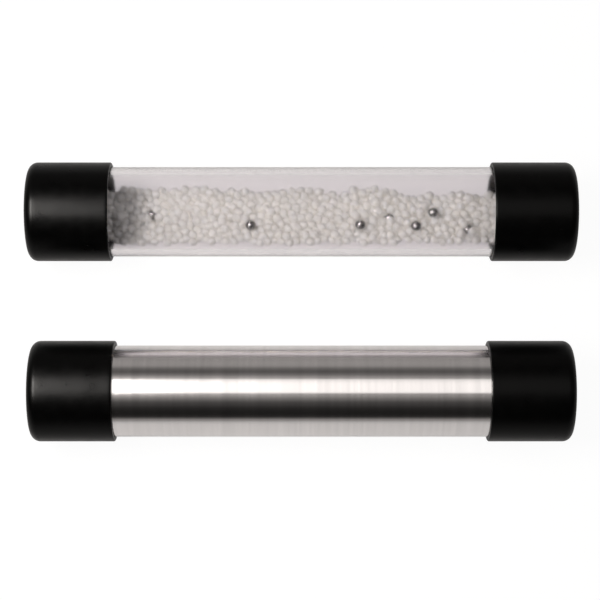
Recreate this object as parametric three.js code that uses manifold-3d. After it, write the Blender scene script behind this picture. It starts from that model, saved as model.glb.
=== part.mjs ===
// A pair of tube shakers that lie side by side: one clear acrylic, one brushed aluminium.
// Each is a tube closed by two push-on rubber caps, with plastic granules and steel balls loose inside.
// Millimetres, +Z up. The tubes run along X and the caps lie on the plane Z = 0.

import * as THREE from "three";
import { mergeVertices } from "three/addons/utils/BufferGeometryUtils.js";
import Module from "manifold-3d";

const wasm = await Module();
wasm.setup();

// The tubes
const TUBE_RADIUS = 20;
const CLEAR_WALL = 3;
const METAL_WALL = 1.5;
const TUBE_CHAMFER = 0.4;

// The shakers over their caps, and the distance between their axes
const CLEAR_LENGTH = 243.5;
const METAL_LENGTH = 237;
const AXIS_SPACING = 81;

// The push-on caps
const CAP_LENGTH = 36.8;
const CAP_WALL = 2;
const CAP_FIT = 0.15;
const CAP_FLOOR = 2.5;
const CAP_CORNER = 4.1;
const CAP_LIP = 0.6;
const CAP_LEAD_IN = 0.4;
const CAP_INNER_FILLET = 0.5;
const SEAT_GAP = 0.3;

// The fill
const FILL_GAP = 0.3;
const FILL_LEVEL = -7.7;
const CLEAR_DIP = 1.5;
const CLEAR_LEAN = 0.15;
const DIP_FROM = 30;
const DIP_TO = 42;
const GRANULE_PITCH = 4.4;
const GRANULE_TOP = 1.3;
const GRANULE_CROWN = 0.5;
const GRANULE_SPREAD = 0.9;
const HOLLOW_LEAST = 0.65;
const HOLLOW_MOST = 1.15;
const GRANULE_TILT = 0.25;
const BALL_RADIUS = 2.25;

// Where the steel balls lie: along the tube, across it from the axis, and above the fill's surface
const BALL_PLACES = [
  [-67.3, 0.6, -0.6],
  [-22.9, -4.5, 0.2],
  [26.5, -4.5, 1.8],
  [39.6, 0, -2],
  [51.6, -5, 1.8],
  [59.5, 1.6, 1.8],
  [75.2, -6, -0.8],
];

// Faces round each turned piece, with one face of each cap flat on the ground
const SIDES = 40;
const BALL_DETAIL = 1;
const SEAT_SIDES = 10;
const SEAT_STEPS = 4;
const CORNER_STEPS = 5;
const LIP_STEPS = 2;

const CAP_BORE = TUBE_RADIUS + CAP_FIT;
const CAP_RADIUS = CAP_BORE + CAP_WALL;
const AXIS_HEIGHT = CAP_RADIUS * Math.cos(Math.PI / SIDES);

const clearAcrylic = { color: 0xeef2f3, roughness: 0.05, metalness: 0, transparent: true, opacity: 0.35 };
const brushedAluminium = { color: 0xc9c6c2, roughness: 0.3, metalness: 1 };
const blackRubber = { color: 0x0b0b0c, roughness: 0.55, metalness: 0 };
const whiteGranules = { color: 0xe6ddd4, roughness: 0.45, metalness: 0 };
const polishedSteel = { color: 0x8d8f92, roughness: 0.12, metalness: 1 };

// Points of an arc about (cx, cy) from one angle to another, in degrees, as [along, radius] pairs.
function arc(cx, cy, radius, from, to, steps) {
  return Array.from({ length: steps + 1 }, (_, i) => {
    const a = THREE.MathUtils.degToRad(from + ((to - from) * i) / steps);
    return [cx + radius * Math.cos(a), cy + radius * Math.sin(a)];
  });
}

// Turns a profile of [along, radius] pairs about X.
function turned(profile) {
  const points = profile.map(([along, radius]) => new THREE.Vector2(radius, along));
  const geometry = new THREE.LatheGeometry(points, SIDES, Math.PI / SIDES);
  return geometry.rotateZ(-Math.PI / 2);
}

function toSolid(geometry) {
  const bare = new THREE.BufferGeometry().setAttribute("position", geometry.getAttribute("position"));
  bare.setIndex(geometry.index);
  const merged = mergeVertices(bare);
  const vertProperties = merged.attributes.position.array;
  const triVerts = new Uint32Array(merged.index.array);
  return new wasm.Manifold(new wasm.Mesh({ numProp: 3, vertProperties, triVerts }));
}

function toGeometry(solid) {
  const { vertProperties, triVerts } = solid.getMesh();
  const geometry = new THREE.BufferGeometry();
  geometry.setAttribute("position", new THREE.BufferAttribute(vertProperties, 3));
  geometry.setIndex(new THREE.BufferAttribute(triVerts, 1));
  return geometry;
}

function named(name, geometry, look) {
  const material = new THREE.MeshStandardMaterial({ ...look, flatShading: true });
  const mesh = new THREE.Mesh(geometry, material);
  mesh.name = name;
  return mesh;
}

// An open tube with its four end edges chamfered.
function tube(length, wall) {
  const end = length / 2;
  const inner = TUBE_RADIUS - wall;
  const edge = TUBE_CHAMFER;
  return turned([
    [-end, inner + edge],
    [-end, TUBE_RADIUS - edge],
    [-end + edge, TUBE_RADIUS],
    [end - edge, TUBE_RADIUS],
    [end, TUBE_RADIUS - edge],
    [end, inner + edge],
    [end - edge, inner],
    [-end + edge, inner],
    [-end, inner + edge],
  ]);
}

// A moulded cup with a flat end at X = 0, a large outer corner, a rounded lip and a lead-in at its mouth.
function cap() {
  return turned([
    [0, 0],
    ...arc(CAP_CORNER, CAP_RADIUS - CAP_CORNER, CAP_CORNER, 180, 90, CORNER_STEPS),
    ...arc(CAP_LENGTH - CAP_LIP, CAP_RADIUS - CAP_LIP, CAP_LIP, 90, 0, LIP_STEPS),
    [CAP_LENGTH, CAP_BORE + CAP_LEAD_IN],
    [CAP_LENGTH - CAP_LEAD_IN, CAP_BORE],
    [CAP_FLOOR + CAP_INNER_FILLET, CAP_BORE],
    [CAP_FLOOR, CAP_BORE - CAP_INNER_FILLET],
    [CAP_FLOOR, 0],
  ]);
}

// A repeatable number from 0 to 1 for each lattice point.
function scatter(u, v, salt) {
  const s = Math.sin(u * 12.9898 + v * 78.233 + salt * 37.719) * 43758.5453;
  return s - Math.floor(s);
}

// The height of the fill's free surface from the tube's axis. Towards the right end it lies lower, by its
// dip, and slopes down across the tube, by its lean.
function surfaceAt(x, y, { dip, lean }) {
  return FILL_LEVEL - (dip + lean * y) * THREE.MathUtils.smoothstep(x, DIP_FROM, DIP_TO);
}

// Joins a ring of vertices to a wider ring round it. Both run anticlockwise, as [index, angle] pairs.
function joinRings(inner, outer) {
  const turn = (ring, i) => ring[i % ring.length][1] + (i >= ring.length ? 2 * Math.PI : 0);
  const at = (ring, i) => ring[i % ring.length][0];
  const faces = [];
  let i = 0;
  let o = 0;
  while (i < inner.length || o < outer.length) {
    const inward = o === outer.length || (i < inner.length && turn(inner, i + 1) < turn(outer, o + 1));
    const next = inward ? at(inner, i + 1) : at(outer, o + 1);
    faces.push(at(inner, i), at(outer, o), next);
    if (inward) i += 1;
    else o += 1;
  }
  return faces;
}

// A block whose top is a field of granules: one on each cell of a hexagonal lattice, each a small tilted
// crown at its own height and turn, with the hollows between them at the cell's corners.
// Lattice steps u and v are half a pitch along X and a third of a row along Y.
function granuleBlock(length, width, depth, surface) {
  const stepX = GRANULE_PITCH / 2;
  const stepY = (GRANULE_PITCH * Math.sqrt(3)) / 6;
  const rows = Math.ceil(width / 2 / (3 * stepY));
  const columns = Math.ceil(length / 2 / GRANULE_PITCH);
  const corners = [[1, 1], [0, 2], [-1, 1], [-1, -1], [0, -2], [1, -1]];
  const positions = [];
  const faces = [];
  const cornerVertices = new Map();
  const vertex = (x, y, z) => positions.push(x, y, z) / 3 - 1;
  const shift = (v) => Math.abs(v / 3) % 2;
  const isCell = (u, v) => Math.abs(v) <= 3 * rows && Math.abs(u - shift(v)) <= 2 * columns;

  // The two vertices at a corner: one in the surface and one in the base under it.
  const cornerAt = (u, v) => {
    const key = `${u},${v}`;
    if (!cornerVertices.has(key)) {
      const hollow = THREE.MathUtils.lerp(HOLLOW_LEAST, HOLLOW_MOST, scatter(u, v, 1));
      const z = surfaceAt(u * stepX, v * stepY, surface) - hollow;
      const top = vertex(u * stepX, v * stepY, z);
      cornerVertices.set(key, { top, base: vertex(u * stepX, v * stepY, -depth) });
    }
    return cornerVertices.get(key);
  };

  // The four vertices of a granule's crown.
  const crownAt = (u, v) => {
    const first = (Math.PI / 2) * (scatter(u, v, 2) - 0.5) + Math.PI / 6;
    const level = surfaceAt(u * stepX, v * stepY, surface);
    const height = level + GRANULE_CROWN + GRANULE_SPREAD * (scatter(u, v, 3) - 0.5);
    const leanX = GRANULE_TILT * (2 * scatter(u, v, 4) - 1);
    const leanY = GRANULE_TILT * (2 * scatter(u, v, 5) - 1);
    return [0, 1, 2, 3].map((k) => {
      const angle = first + (k * Math.PI) / 2;
      const dx = GRANULE_TOP * Math.cos(angle);
      const dy = GRANULE_TOP * Math.sin(angle);
      return [vertex(u * stepX + dx, v * stepY + dy, height + leanX * dx + leanY * dy), angle];
    });
  };

  for (let row = -rows; row <= rows; row += 1) {
    const v = 3 * row;
    for (let column = -columns; column <= columns; column += 1) {
      const u = 2 * column + shift(v);
      const ring = corners.map(([du, dv]) => cornerAt(u + du, v + dv));
      const rim = ring.map((corner, k) => [corner.top, Math.PI / 6 + (k * Math.PI) / 3]);
      const crown = crownAt(u, v);
      const [a, b, c, d] = crown.map(([index]) => index);
      faces.push(a, b, c, a, c, d, ...joinRings(crown, rim));
      for (let k = 1; k < 5; k += 1) faces.push(ring[0].base, ring[k + 1].base, ring[k].base);
      ring.forEach((corner, k) => {
        const next = ring[(k + 1) % 6];
        const [[du, dv], [eu, ev]] = [corners[k], corners[(k + 1) % 6]];
        if (isCell(u + du + eu, v + dv + ev)) return;
        faces.push(corner.top, corner.base, next.top, next.top, corner.base, next.base);
      });
    }
  }
  const geometry = new THREE.BufferGeometry();
  geometry.setAttribute("position", new THREE.BufferAttribute(new Float32Array(positions), 3));
  return geometry.setIndex(faces);
}

// The block under a fill with a plain, level surface.
function levelBlock(length, width, depth) {
  const height = depth + FILL_LEVEL;
  return new THREE.BoxGeometry(2 * length, 2 * width, height).translate(0, 0, FILL_LEVEL - height / 2);
}

// Where the centre of each ball lies, from the middle of its tube.
function ballCentres(surface) {
  return BALL_PLACES.map(([x, y, rise]) => new THREE.Vector3(x, y, surfaceAt(x, y, surface) + rise));
}

// The hollow that a ball presses into the fill, open upwards so that the ball can hop out of it.
function ballSeat(centre) {
  const radius = BALL_RADIUS + FILL_GAP;
  const bowl = arc(0, 0, radius, 180, 90, SEAT_STEPS);
  const profile = bowl.map(([along, out]) => new THREE.Vector2(out, along));
  profile.push(new THREE.Vector2(radius, 2 * TUBE_RADIUS), new THREE.Vector2(0, 2 * TUBE_RADIUS));
  return new THREE.LatheGeometry(profile, SEAT_SIDES).rotateX(Math.PI / 2).translate(...centre);
}

// The loose fill as it lies: what the bore holds under its free surface, less the balls' hollows.
function fill(length, wall, surface) {
  const radius = TUBE_RADIUS - wall - FILL_GAP;
  const end = length / 2;
  const bore = toSolid(turned([[-end, 0], [-end, radius], [end, radius], [end, 0]]));
  const block = surface.granular
    ? granuleBlock(length, 2 * radius, 2 * radius, surface)
    : levelBlock(length, 2 * radius, 2 * radius);
  const seats = ballCentres(surface).map((centre) => toSolid(ballSeat(centre)));
  const heaped = toSolid(block).intersect(bore);
  return toGeometry(seats.reduce((solid, seat) => solid.subtract(seat), heaped));
}

// One shaker about its own axis, with its caps' ends the given length apart.
function shaker(prefix, { length, wall, look, surface }) {
  const group = new THREE.Group();
  const tubeLength = length - 2 * (CAP_FLOOR + SEAT_GAP);
  const leftCap = named(`${prefix}_left_cap`, cap(), blackRubber);
  leftCap.position.x = -length / 2;
  const rightCap = named(`${prefix}_right_cap`, cap(), blackRubber);
  rightCap.position.x = length / 2;
  rightCap.rotation.z = Math.PI;
  const balls = ballCentres(surface).map((centre, i) => {
    const shape = new THREE.IcosahedronGeometry(BALL_RADIUS, BALL_DETAIL);
    const ball = named(`${prefix}_ball_${i + 1}`, shape, polishedSteel);
    ball.position.copy(centre);
    return ball;
  });
  group.add(
    named(`${prefix}_tube`, tube(tubeLength, wall), look),
    leftCap,
    rightCap,
    named(`${prefix}_pellet_fill`, fill(tubeLength, wall, surface), whiteGranules),
    ...balls,
  );
  return group;
}

const clear = shaker("clear", {
  length: CLEAR_LENGTH,
  wall: CLEAR_WALL,
  look: clearAcrylic,
  surface: { dip: CLEAR_DIP, lean: CLEAR_LEAN, granular: true },
});
clear.position.set(0, AXIS_SPACING / 2, AXIS_HEIGHT);

const metal = shaker("metal", {
  length: METAL_LENGTH,
  wall: METAL_WALL,
  look: brushedAluminium,
  surface: { dip: 0, lean: 0, granular: false },
});
metal.position.set(0, -AXIS_SPACING / 2, AXIS_HEIGHT);

export default new THREE.Group().add(clear, metal);
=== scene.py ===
"""Two tube shakers, one clear and one metal, lying side by side on a white floor.

Each is a tube with a push-on rubber cap at either end, and loose granules and steel balls inside.
Lengths are in metres. The tubes run along X, and the clear one lies behind the metal one.
"""

import math

import bmesh
import bpy
import numpy as np
from mathutils import Euler, Matrix, Vector


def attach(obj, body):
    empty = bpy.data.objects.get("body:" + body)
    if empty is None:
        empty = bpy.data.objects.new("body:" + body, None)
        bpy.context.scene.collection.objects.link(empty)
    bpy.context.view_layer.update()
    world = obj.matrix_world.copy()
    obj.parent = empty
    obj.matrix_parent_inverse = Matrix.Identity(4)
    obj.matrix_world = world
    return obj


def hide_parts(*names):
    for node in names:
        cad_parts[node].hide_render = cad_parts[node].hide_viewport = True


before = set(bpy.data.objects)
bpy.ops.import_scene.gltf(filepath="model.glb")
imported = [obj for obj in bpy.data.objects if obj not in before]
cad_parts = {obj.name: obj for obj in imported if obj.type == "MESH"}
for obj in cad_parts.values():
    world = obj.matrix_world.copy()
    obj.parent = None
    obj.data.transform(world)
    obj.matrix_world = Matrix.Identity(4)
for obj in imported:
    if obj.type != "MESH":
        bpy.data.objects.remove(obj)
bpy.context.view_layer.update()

# The tubes and their caps, as the model has them
TUBE_RADIUS = 0.020
TUBE_EDGE = 0.0003
CLEAR_BORE = 0.017
METAL_BORE = 0.0185
CLEAR_LENGTH = 0.2435
METAL_LENGTH = 0.237
CAP_LENGTH = 0.0368
CAP_BORE = 0.02015
CAP_FLOOR = 0.0025
CAP_CORNER = 0.0041
CAP_LIP = 0.0006
CAP_LEAD = 0.0003
CAP_FILLET = 0.0005
SEAT_GAP = 0.0003
AXIS_HEIGHT = 0.022082
CLEAR_AXIS = Vector((0, 0.0405, AXIS_HEIGHT))
METAL_AXIS = Vector((0, -0.0405, AXIS_HEIGHT))

# The dimple that moulding leaves in the middle of a cap's end, as (depth, radius), and a ring in
# the flat round it
GATE_MARK = [(0.00035, 0), (0.00035, 0.0012), (0.0001, 0.0016), (0, 0.0018)]
FLAT_RING = 0.010

# Steps round a turned piece, and the narrow faces beside a rounded edge that keep long ones flat
TURN_STEPS = 160
BORDER = 0.001

# How the fill lies: its level from the axis, where it changes towards the right end, and there,
# for each shaker, how far it drops and how much it leans
FILL_LEVEL = -0.0077
DIP_FROM = 0.030
DIP_TO = 0.042
CLEAR_SURFACE = (0.0015, 0.15)
METAL_SURFACE = (0.0, 0.0)

# The balls, from the middle of the tube: along it, across it, and above the fill's surface
BALL_RADIUS = 0.00225
BALL_PLACES = [
    (-0.0673, 0.0006, -0.0006),
    (-0.0229, -0.0045, 0.0002),
    (0.0265, -0.0045, 0.0018),
    (0.0396, 0.0, -0.0020),
    (0.0516, -0.0050, 0.0018),
    (0.0595, 0.0016, 0.0018),
    (0.0752, -0.0060, -0.0008),
]

# The granules: half of the room that each takes, and the pellet that is copied to every place
GRANULE_REACH = 0.00185
PELLET_SIDES = 8
PELLET_RADIUS = 0.0019
PELLET_LENGTH = 0.0034
PELLET_EDGE = 0.0006
PELLET_SIZES = (0.88, 1.1)
RIM_ANGLE = 1.2
WALL_GAP = 0.00005

# Granules that lie over the first and last ball: which ball, and which way from its centre
LIDS = [
    (0, (0.60, 0.46, 0.65)),
    (0, (-0.52, -0.56, 0.65)),
    (6, (-0.46, 0.44, 0.77)),
    (6, (0.44, -0.46, 0.77)),
]

# How granules settle: the share of the room that they fill, how far they sink in each turn, how
# hard two that overlap push apart, and how often and how widely their neighbours are looked up
PACKED = 0.71
TRIES_EACH = 12
SETTLING_TURNS = 260
PUSHES_A_TURN = 2
SINK = 0.00004
PUSH = 0.28
LOOK_UP_EVERY = 8
LOOK_ALONG = 2.6
LOOK_ROUND = 2.9
LEVEL_STEPS = 400


# Materials

def new_material(name):
    """An empty node material, its nodes and its links."""
    material = bpy.data.materials.new(name)
    material.use_nodes = True
    material.node_tree.nodes.clear()
    return material, material.node_tree.nodes, material.node_tree.links


def principled(nodes, **values):
    """A Principled shader with the given sockets set."""
    shader = nodes.new("ShaderNodeBsdfPrincipled")
    for socket, value in values.items():
        shader.inputs[socket.replace("_", " ")].default_value = value
    return shader


def see_through(nodes, colour):
    """A shader that lets light straight through, a little tinted."""
    clear = nodes.new("ShaderNodeBsdfTransparent")
    clear.inputs["Color"].default_value = colour
    return clear.outputs["BSDF"]


def sum_of(nodes, links, operation, *terms):
    """What a Math node makes of sockets and plain numbers."""
    node = nodes.new("ShaderNodeMath")
    node.operation = operation
    for socket, term in zip(node.inputs, terms):
        if isinstance(term, bpy.types.NodeSocket):
            links.new(term, socket)
        else:
            socket.default_value = term
    return node.outputs["Value"]


def colour_between(nodes, links, share, first, second):
    """A colour between two, by a share from 0 to 1."""
    mix = nodes.new("ShaderNodeMix")
    mix.data_type = "RGBA"
    mix.inputs["A"].default_value = first
    mix.inputs["B"].default_value = second
    links.new(share, mix.inputs["Factor"])
    return mix.outputs["Result"]


def shader_between(nodes, links, share, first, second):
    """A shader between two, by a share from 0 to 1."""
    mix = nodes.new("ShaderNodeMixShader")
    links.new(share, mix.inputs["Fac"])
    links.new(first, mix.inputs[1])
    links.new(second, mix.inputs[2])
    return mix.outputs["Shader"]


def coat(nodes, links, shader):
    """Puts a shader on the material's output."""
    output = nodes.new("ShaderNodeOutputMaterial")
    links.new(shader, output.inputs["Surface"])


def noise(nodes, links, scale, detail, stretch=(1, 1, 1)):
    """Noise on the object's own coordinates, drawn out along an axis by a small stretch."""
    place = nodes.new("ShaderNodeTexCoord")
    mapping = nodes.new("ShaderNodeMapping")
    mapping.inputs["Scale"].default_value = stretch
    pattern = nodes.new("ShaderNodeTexNoise")
    pattern.inputs["Scale"].default_value = scale
    pattern.inputs["Detail"].default_value = detail
    links.new(place.outputs["Object"], mapping.inputs["Vector"])
    links.new(mapping.outputs["Vector"], pattern.inputs["Vector"])
    return pattern.outputs["Fac"]


def spread(nodes, links, value, low, high):
    """Noise, most of which lies from 0.3 to 0.7, laid out between two numbers."""
    ranged = nodes.new("ShaderNodeMapRange")
    ranged.inputs["From Min"].default_value = 0.3
    ranged.inputs["From Max"].default_value = 0.7
    ranged.inputs["To Min"].default_value = low
    ranged.inputs["To Max"].default_value = high
    links.new(value, ranged.inputs["Value"])
    return ranged.outputs["Result"]


def bump(nodes, links, height, shader, strength, distance):
    """Relief on a shader from a height."""
    relief = nodes.new("ShaderNodeBump")
    relief.inputs["Strength"].default_value = strength
    relief.inputs["Distance"].default_value = distance
    links.new(height, relief.inputs["Height"])
    links.new(relief.outputs["Normal"], shader.inputs["Normal"])


def clear_acrylic():
    """Clear tube with the faint long draw lines of extrusion, which lets lamps reach the fill."""
    material, nodes, links = new_material("clear_acrylic")
    glass = principled(
        nodes, Base_Color=(0.978, 0.954, 0.975, 1), Roughness=0.125, IOR=1.49,
        Transmission_Weight=1.0, Specular_Tint=(0.25, 0.25, 0.25, 1),
    )
    draw_lines = noise(nodes, links, scale=900, detail=2, stretch=(0.01, 1, 1))
    bump(nodes, links, draw_lines, glass, strength=0.015, distance=0.0001)
    clear = see_through(nodes, (0.93, 0.925, 0.925, 1))
    ray = nodes.new("ShaderNodeLightPath").outputs
    light = sum_of(nodes, links, "MAXIMUM", ray["Is Shadow Ray"], ray["Is Diffuse Ray"])
    coat(nodes, links, shader_between(nodes, links, light, glass.outputs["BSDF"], clear))
    return material


def brushed_aluminium():
    """Aluminium brushed round the tube: fine rings that draw the gleam out along it."""
    material, nodes, links = new_material("brushed_aluminium")
    metal = principled(nodes, Metallic=1.0, Anisotropic=0.55, Anisotropic_Rotation=0.25)
    tangent = nodes.new("ShaderNodeTangent")
    tangent.direction_type = "RADIAL"
    tangent.axis = "X"
    links.new(tangent.outputs["Tangent"], metal.inputs["Tangent"])
    rings = noise(nodes, links, scale=1500, detail=4, stretch=(1, 0.01, 0.01))
    strokes = noise(nodes, links, scale=500, detail=5, stretch=(1, 0.03, 0.03))
    tint = colour_between(
        nodes, links, spread(nodes, links, strokes, low=0, high=1),
        (0.76, 0.738, 0.739, 1), (0.84, 0.816, 0.817, 1),
    )
    links.new(tint, metal.inputs["Base Color"])
    polish = spread(nodes, links, strokes, low=0.139, high=0.169)
    links.new(polish, metal.inputs["Roughness"])
    bump(nodes, links, rings, metal, strength=0.12, distance=0.00005)
    coat(nodes, links, metal.outputs["BSDF"])
    return material


def black_rubber():
    """Moulded satin black rubber with a fine grain."""
    material, nodes, links = new_material("black_rubber")
    rubber = principled(
        nodes, Base_Color=(0.001, 0.001, 0.001, 1), IOR=1.40, Specular_IOR_Level=0.11
    )
    grain = noise(nodes, links, scale=1800, detail=3)
    smudges = noise(nodes, links, scale=160, detail=3)
    links.new(spread(nodes, links, smudges, low=0.27, high=0.35), rubber.inputs["Roughness"])
    bump(nodes, links, grain, rubber, strength=0.15, distance=0.0001)
    coat(nodes, links, rubber.outputs["BSDF"])
    return material


def white_granulate():
    """Translucent white plastic, each granule a little different in tone."""
    material, nodes, links = new_material("white_granulate")
    plastic = principled(
        nodes, Roughness=0.5, IOR=1.45, Specular_IOR_Level=0.25, Subsurface_Weight=1.0,
        Subsurface_Radius=(0.0080, 0.0076, 0.0070), Subsurface_Scale=1.0,
    )
    patches = noise(nodes, links, scale=260, detail=1)
    tone = colour_between(
        nodes, links, spread(nodes, links, patches, low=0, high=1),
        (0.93, 0.916, 0.88, 1), (0.96, 0.948, 0.915, 1),
    )
    links.new(tone, plastic.inputs["Base Color"])
    grain = noise(nodes, links, scale=1200, detail=2)
    bump(nodes, links, grain, plastic, strength=0.05, distance=0.0002)
    clear = see_through(nodes, (0.97, 0.965, 0.955, 1))
    light = nodes.new("ShaderNodeLightPath").outputs["Is Shadow Ray"]
    coat(nodes, links, shader_between(nodes, links, light, plastic.outputs["BSDF"], clear))
    return material


def polished_steel():
    """Bearing steel, mirror bright with the lightest handling haze."""
    material, nodes, links = new_material("polished_steel")
    steel = principled(nodes, Base_Color=(0.26, 0.26, 0.26, 1), Metallic=1.0)
    haze = noise(nodes, links, scale=900, detail=2)
    links.new(spread(nodes, links, haze, low=0.10, high=0.17), steel.inputs["Roughness"])
    coat(nodes, links, steel.outputs["BSDF"])
    return material


ACRYLIC = clear_acrylic()
ALUMINIUM = brushed_aluminium()
RUBBER = black_rubber()
GRANULATE = white_granulate()
STEEL = polished_steel()


# Shapes

def arc(along, radius, reach, start, end, steps):
    """Points of an arc about (along, radius) between two angles in degrees."""
    angles = np.radians(np.linspace(start, end, steps + 1))
    return [(along + reach * math.cos(a), radius + reach * math.sin(a)) for a in angles]


def turned(outline, closed):
    """A bmesh turned about X from an outline of (along, radius) points."""
    bm = bmesh.new()
    points = [bm.verts.new((along, 0, radius)) for along, radius in outline]
    lines = [bm.edges.new(pair) for pair in zip(points, points[1:])]
    if closed:
        lines.append(bm.edges.new((points[-1], points[0])))
    bmesh.ops.spin(
        bm, geom=points + lines, cent=(0, 0, 0), axis=(1, 0, 0), angle=2 * math.pi,
        steps=TURN_STEPS, use_merge=True,
    )
    bmesh.ops.remove_doubles(bm, verts=bm.verts, dist=1e-7)
    bmesh.ops.recalc_face_normals(bm, faces=bm.faces)
    return bm


def finished(bm, name, material, body, sharp=40):
    """Makes a piece of a bmesh, which stands for the node of its name."""
    mesh = bpy.data.meshes.new(name)
    bm.to_mesh(mesh)
    bm.free()
    mesh.materials.append(material)
    mesh.shade_smooth()
    mesh.set_sharp_from_angle(angle=math.radians(sharp))
    piece = bpy.data.objects.new(name, mesh)
    bpy.context.scene.collection.objects.link(piece)
    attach(piece, body)
    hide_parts(name)


def tube(name, length, bore, axis, material):
    """An open tube with its four end edges rounded."""
    end = length / 2
    straight = end - BORDER
    outline = [
        (-straight, bore),
        *arc(-end + TUBE_EDGE, bore + TUBE_EDGE, TUBE_EDGE, 270, 180, steps=3),
        *arc(-end + TUBE_EDGE, TUBE_RADIUS - TUBE_EDGE, TUBE_EDGE, 180, 90, steps=3),
        (-straight, TUBE_RADIUS),
        (straight, TUBE_RADIUS),
        *arc(end - TUBE_EDGE, TUBE_RADIUS - TUBE_EDGE, TUBE_EDGE, 90, 0, steps=3),
        *arc(end - TUBE_EDGE, bore + TUBE_EDGE, TUBE_EDGE, 0, -90, steps=3),
        (straight, bore),
    ]
    bm = turned(outline, closed=True)
    bmesh.ops.translate(bm, verts=bm.verts, vec=axis)
    finished(bm, name, material, name)


def cap(name, place, flip):
    """A moulded push-on cap: rounded end corner, a rounded lip and a lead-in at its mouth."""
    outside = AXIS_HEIGHT
    outline = [
        *GATE_MARK,
        (0, FLAT_RING),
        *arc(CAP_CORNER, outside - CAP_CORNER, CAP_CORNER, 180, 90, steps=14),
        (CAP_CORNER + 2 * BORDER, outside),
        (CAP_LENGTH - CAP_LIP - BORDER, outside),
        *arc(CAP_LENGTH - CAP_LIP, outside - CAP_LIP, CAP_LIP, 90, 0, steps=6),
        (CAP_LENGTH, CAP_BORE + CAP_LEAD),
        (CAP_LENGTH - CAP_LEAD, CAP_BORE),
        (CAP_FLOOR + 2 * CAP_FILLET, CAP_BORE),
        *arc(CAP_FLOOR + CAP_FILLET, CAP_BORE - CAP_FILLET, CAP_FILLET, 90, 180, steps=3),
        (CAP_FLOOR, 0),
    ]
    bm = turned(outline, closed=False)
    if flip:
        half_turn = Matrix.Rotation(math.pi, 3, "Z")
        bmesh.ops.rotate(bm, verts=bm.verts, cent=(0, 0, 0), matrix=half_turn)
    bmesh.ops.translate(bm, verts=bm.verts, vec=place)
    finished(bm, name, RUBBER, name)


def level(x, y, surface):
    """The height of the fill's surface from the tube's axis."""
    dip, lean = surface
    t = np.clip((x - DIP_FROM) / (DIP_TO - DIP_FROM), 0, 1)
    return FILL_LEVEL - (dip + lean * y) * t * t * (3 - 2 * t)


def ball_centres(surface):
    """Where the balls lie from the middle of their tube."""
    return [Vector((x, y, float(level(x, y, surface)) + rise)) for x, y, rise in BALL_PLACES]


def neighbours(spots):
    """Pairs of granules that lie near each other, of spots that are in order along the tube."""
    count = len(spots)
    last = np.searchsorted(spots[:, 0], spots[:, 0] + LOOK_ALONG * GRANULE_REACH)
    first = np.repeat(np.arange(count), last - np.arange(count) - 1)
    second = np.concatenate([np.arange(i + 1, last[i]) for i in range(count)])
    near = np.linalg.norm(spots[first] - spots[second], axis=1) < LOOK_ROUND * GRANULE_REACH
    return first[near], second[near]


def settled(length, bore, surface, seed):
    """Centres of granules poured into a tube: they sink, push apart and stay inside it."""
    rng = np.random.default_rng(seed)
    reach = GRANULE_REACH
    half = length / 2
    along = np.linspace(-half, half, LEVEL_STEPS)
    spans = 2 * np.arccos(-level(along, 0, surface) / bore)
    room = np.trapz(bore * bore / 2 * (spans - np.sin(spans)), along)
    count = int(PACKED * room / (4 / 3 * math.pi * reach ** 3))
    tries = rng.uniform((-half, -bore, -bore), (half, bore, 0), (TRIES_EACH * count, 3))
    inside = np.hypot(tries[:, 1], tries[:, 2]) < bore - reach
    below = tries[:, 2] < level(tries[:, 0], tries[:, 1], surface) - reach / 2
    spots = tries[inside & below][:count]
    count = len(spots)
    balls = [np.array(centre) for centre in ball_centres(surface)]
    lids = [balls[i] + (BALL_RADIUS + reach) * np.array(way) for i, way in LIDS]
    fixed = [(centre, BALL_RADIUS + reach) for centre in balls]
    fixed += [(centre, 2 * reach) for centre in lids]
    for turn in range(SETTLING_TURNS):
        if turn % LOOK_UP_EVERY == 0:
            spots = spots[np.argsort(spots[:, 0])]
            first, second = neighbours(spots)
        spots[:, 2] -= SINK
        for _ in range(PUSHES_A_TURN):
            gap = spots[second] - spots[first]
            far = np.linalg.norm(gap, axis=1) + 1e-12
            move = gap * (np.clip(2 * reach - far, 0, None) / far * PUSH)[:, None]
            for i in range(3):
                spots[:, i] += (
                    np.bincount(second, move[:, i], count) - np.bincount(first, move[:, i], count)
                )
            for centre, clear in fixed:
                gap = spots - centre
                far = np.linalg.norm(gap, axis=1)
                spots += gap * (np.clip(clear - far, 0, None) / far)[:, None]
            out = np.hypot(spots[:, 1], spots[:, 2])
            spots[:, 1:] *= np.minimum(1, (bore - reach) / out)[:, None]
            spots[:, 0] = np.clip(spots[:, 0], reach - half, half - reach)
    return np.vstack([spots, lids])


def pellet_shape():
    """A mesh of one pellet: a short rod with its two rims broken."""
    pellet = bmesh.new()
    bmesh.ops.create_cone(
        pellet, cap_ends=True, segments=PELLET_SIDES, radius1=PELLET_RADIUS,
        radius2=PELLET_RADIUS, depth=PELLET_LENGTH,
    )
    rims = [e for e in pellet.edges if e.calc_face_angle() > RIM_ANGLE]
    bmesh.ops.bevel(
        pellet, geom=rims, offset=PELLET_EDGE, segments=1, profile=0.5, affect="EDGES",
        material=-1,
    )
    shape = bpy.data.meshes.new("pellet")
    pellet.to_mesh(shape)
    pellet.free()
    return shape


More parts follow.
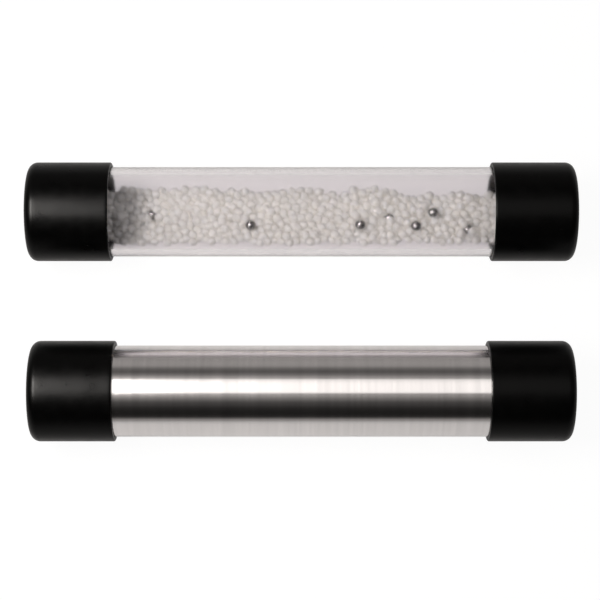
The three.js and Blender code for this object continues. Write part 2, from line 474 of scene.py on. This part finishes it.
def granules(name, length, bore, surface, axis, body, seed):
    """The loose fill: one pellet copied to every place, each turned its own way."""
    shape = pellet_shape()
    corners = np.array([v.co[:] for v in shape.vertices])
    rng = np.random.default_rng(seed)
    heap = bmesh.new()
    for x, y, z in settled(length, bore, surface, seed):
        turn = Euler(rng.uniform(0, 2 * math.pi, 3)).to_matrix()
        turn = turn @ Matrix.Diagonal(rng.uniform(*PELLET_SIZES, 3))
        reach = corners @ np.array(turn).T + (x, y, z)
        over = np.hypot(reach[:, 1], reach[:, 2]).max() - bore + WALL_GAP
        if over > 0:
            out = math.hypot(y, z)
            y, z = y * (1 - over / out), z * (1 - over / out)
        placed = shape.copy()
        placed.transform(Matrix.Translation(axis + Vector((x, y, z))) @ turn.to_4x4())
        heap.from_mesh(placed)
        bpy.data.meshes.remove(placed)
    bpy.data.meshes.remove(shape)
    finished(heap, name, GRANULATE, body, sharp=80)


def ball(name, centre):
    """A polished bearing ball."""
    bm = bmesh.new()
    bmesh.ops.create_icosphere(bm, subdivisions=4, radius=BALL_RADIUS)
    bmesh.ops.translate(bm, verts=bm.verts, vec=centre)
    finished(bm, name, STEEL, name)


def shaker(prefix, length, bore, surface, axis, material, seed):
    """One whole shaker about its axis."""
    tube_length = length - 2 * (CAP_FLOOR + SEAT_GAP)
    end = Vector((length / 2, 0, 0))
    tube(f"{prefix}_tube", tube_length, bore, axis, material)
    cap(f"{prefix}_left_cap", axis - end, flip=False)
    cap(f"{prefix}_right_cap", axis + end, flip=True)
    granules(f"{prefix}_pellet_fill", tube_length, bore, surface, axis, f"{prefix}_fill", seed)
    for i, centre in enumerate(ball_centres(surface)):
        ball(f"{prefix}_ball_{i + 1}", axis + centre)


shaker("clear", CLEAR_LENGTH, CLEAR_BORE, CLEAR_SURFACE, CLEAR_AXIS, ACRYLIC, seed=7)
shaker("metal", METAL_LENGTH, METAL_BORE, METAL_SURFACE, METAL_AXIS, ALUMINIUM, seed=8)


# The studio

# The floor: how grey it is to light and to the camera, how it glows for the camera, and how it
# glows where metal mirrors it, near the shakers and far off. Clear surfaces show it brighter
FLOOR_REACH = 4
FLOOR_DROP = 0.0001
FLOOR_GREY = (0.40, 0.39, 0.38, 1)
SEEN_GREY = (0.09, 0.09, 0.09, 1)
SEEN_GLOW = 0.945
NEAR, FAR = 0.16, 0.60
NEAR_GLOW, FAR_GLOW = 0.34, 0.32
THROUGH_SHARE = 1.23

# How bright the room is round the tubes: degrees from the horizon in front, over the top (90), to
# the horizon behind (180), and the tone there
ROOM = [
    (0, 0.32), (4, 0.31), (8, 0.14), (13, 0.022), (21, 0.012), (31, 0.014), (39, 0.022),
    (46, 0.042), (54, 0.060), (62, 0.150), (70, 0.27), (75, 0.28), (79, 0.47), (102, 0.47),
    (107, 0.30), (115, 0.32), (123, 0.15), (131, 0.08), (139, 0.13), (149, 0.31), (158, 0.33),
    (169, 0.30), (180, 0.29),
]
ROOM_TINT = (1, 0.955, 0.92)

# The lamps: the key and the gleam at the upper left, and the long one over both tubes
KEY_PLACE = (-0.335, -0.008, 0.57)
GLEAM_PLACE = (-0.335, -0.008, 0.575)
KEY_AIM = (0, 0, 0.02)
KEY_SIZE = (0.36, 0.20)
KEY_COLOUR = (1.0, 0.96, 0.92)
LONG_PLACE = (-0.08, 0.0, 0.57)
LONG_AIM = (-0.08, 0.0, 0.02)
LONG_SIZE = (0.95, 0.34)
LONG_COLOUR = (1.0, 0.97, 0.94)


def floor():
    """A white floor that keeps a faint shadow."""
    bm = bmesh.new()
    bmesh.ops.create_grid(bm, x_segments=1, y_segments=1, size=FLOOR_REACH)
    bmesh.ops.translate(bm, verts=bm.verts, vec=(0, 0, -FLOOR_DROP))
    mesh = bpy.data.meshes.new("floor")
    bm.to_mesh(mesh)
    bm.free()
    material, nodes, links = new_material("floor_white")
    ray = nodes.new("ShaderNodeLightPath").outputs
    paper = nodes.new("ShaderNodeBsdfDiffuse")
    grey = colour_between(nodes, links, ray["Is Camera Ray"], FLOOR_GREY, SEEN_GREY)
    links.new(grey, paper.inputs["Color"])
    place = nodes.new("ShaderNodeTexCoord")
    away = nodes.new("ShaderNodeVectorMath")
    away.operation = "LENGTH"
    links.new(place.outputs["Object"], away.inputs[0])
    fade = nodes.new("ShaderNodeMapRange")
    fade.interpolation_type = "SMOOTHSTEP"
    fade.inputs["From Min"].default_value = NEAR
    fade.inputs["From Max"].default_value = FAR
    fade.inputs["To Min"].default_value = NEAR_GLOW
    fade.inputs["To Max"].default_value = FAR_GLOW
    links.new(away.outputs["Value"], fade.inputs["Value"])
    through = sum_of(nodes, links, "MULTIPLY", ray["Is Transmission Ray"], THROUGH_SHARE)
    shown = sum_of(nodes, links, "MAXIMUM", ray["Is Glossy Ray"], through)
    part = sum_of(nodes, links, "MULTIPLY", shown, fade.outputs["Result"])
    glow = sum_of(nodes, links, "MULTIPLY_ADD", ray["Is Camera Ray"], SEEN_GLOW, part)
    light = nodes.new("ShaderNodeEmission")
    links.new(glow, light.inputs["Strength"])
    both = nodes.new("ShaderNodeAddShader")
    links.new(light.outputs["Emission"], both.inputs[0])
    links.new(paper.outputs["BSDF"], both.inputs[1])
    coat(nodes, links, both.outputs["Shader"])
    mesh.materials.append(material)
    plane = bpy.data.objects.new("floor", mesh)
    bpy.context.scene.collection.objects.link(plane)


def room():
    """The studio round the shakers: banded from front to back, and white to the camera."""
    world = bpy.data.worlds.new("studio")
    bpy.context.scene.world = world
    world.use_nodes = True
    nodes, links = world.node_tree.nodes, world.node_tree.links
    nodes.clear()
    place = nodes.new("ShaderNodeTexCoord")
    way = nodes.new("ShaderNodeSeparateXYZ")
    links.new(place.outputs["Generated"], way.inputs["Vector"])
    front = sum_of(nodes, links, "MULTIPLY", way.outputs["Y"], -1)
    angle = sum_of(nodes, links, "ARCTAN2", way.outputs["Z"], front)
    share = sum_of(nodes, links, "DIVIDE", angle, math.pi)
    bands = nodes.new("ShaderNodeValToRGB")
    bands.color_ramp.interpolation = "LINEAR"
    stops = bands.color_ramp.elements
    while len(stops) > 1:
        stops.remove(stops[-1])
    for i, (degrees, tone) in enumerate(ROOM):
        stop = stops[0] if i == 0 else stops.new(degrees / 180)
        stop.position = degrees / 180
        stop.color = (*(tone * part for part in ROOM_TINT), 1)
    links.new(share, bands.inputs["Fac"])
    lit = nodes.new("ShaderNodeBackground")
    links.new(bands.outputs["Color"], lit.inputs["Color"])
    white = nodes.new("ShaderNodeBackground")
    white.inputs["Color"].default_value = (1, 1, 1, 1)
    seen = nodes.new("ShaderNodeLightPath").outputs["Is Camera Ray"]
    output = nodes.new("ShaderNodeOutputWorld")
    both = shader_between(
        nodes, links, seen, lit.outputs["Background"], white.outputs["Background"]
    )
    links.new(both, output.inputs["Surface"])


def softbox(name, place, aim, size, power, colour, lights_matt=True):
    """A rectangular lamp that lights everything, or only gleams in what is glossy."""
    lamp = bpy.data.lights.new(name, "AREA")
    lamp.shape = "RECTANGLE"
    lamp.size, lamp.size_y = size
    lamp.energy = power
    lamp.color = colour
    light = bpy.data.objects.new(name, lamp)
    light.location = place
    light.rotation_euler = (Vector(aim) - Vector(place)).to_track_quat("-Z", "Y").to_euler()
    light.visible_diffuse = lights_matt
    bpy.context.scene.collection.objects.link(light)


def camera(elevation, distance, lens, target):
    """A view from the front, high up and far off."""
    data = bpy.data.cameras.new("camera")
    data.lens = lens
    data.sensor_width = 36
    data.clip_end = 20
    eye = bpy.data.objects.new("camera", data)
    rise = math.radians(elevation)
    eye.location = Vector(target) + distance * Vector((0, -math.cos(rise), math.sin(rise)))
    eye.rotation_euler = (math.pi / 2 - rise, 0, 0)
    bpy.context.scene.collection.objects.link(eye)
    bpy.context.scene.camera = eye


floor()
room()
softbox("key_softbox", KEY_PLACE, KEY_AIM, KEY_SIZE, 2.2, KEY_COLOUR)
softbox("gleam_softbox", GLEAM_PLACE, KEY_AIM, KEY_SIZE, 9.4, KEY_COLOUR, lights_matt=False)
softbox("long_softbox", LONG_PLACE, LONG_AIM, LONG_SIZE, 0.66, LONG_COLOUR)
camera(elevation=79, distance=0.83, lens=112.2, target=(-0.00062, 0.00027, AXIS_HEIGHT))

bpy.context.scene.view_settings.view_transform = "Standard"
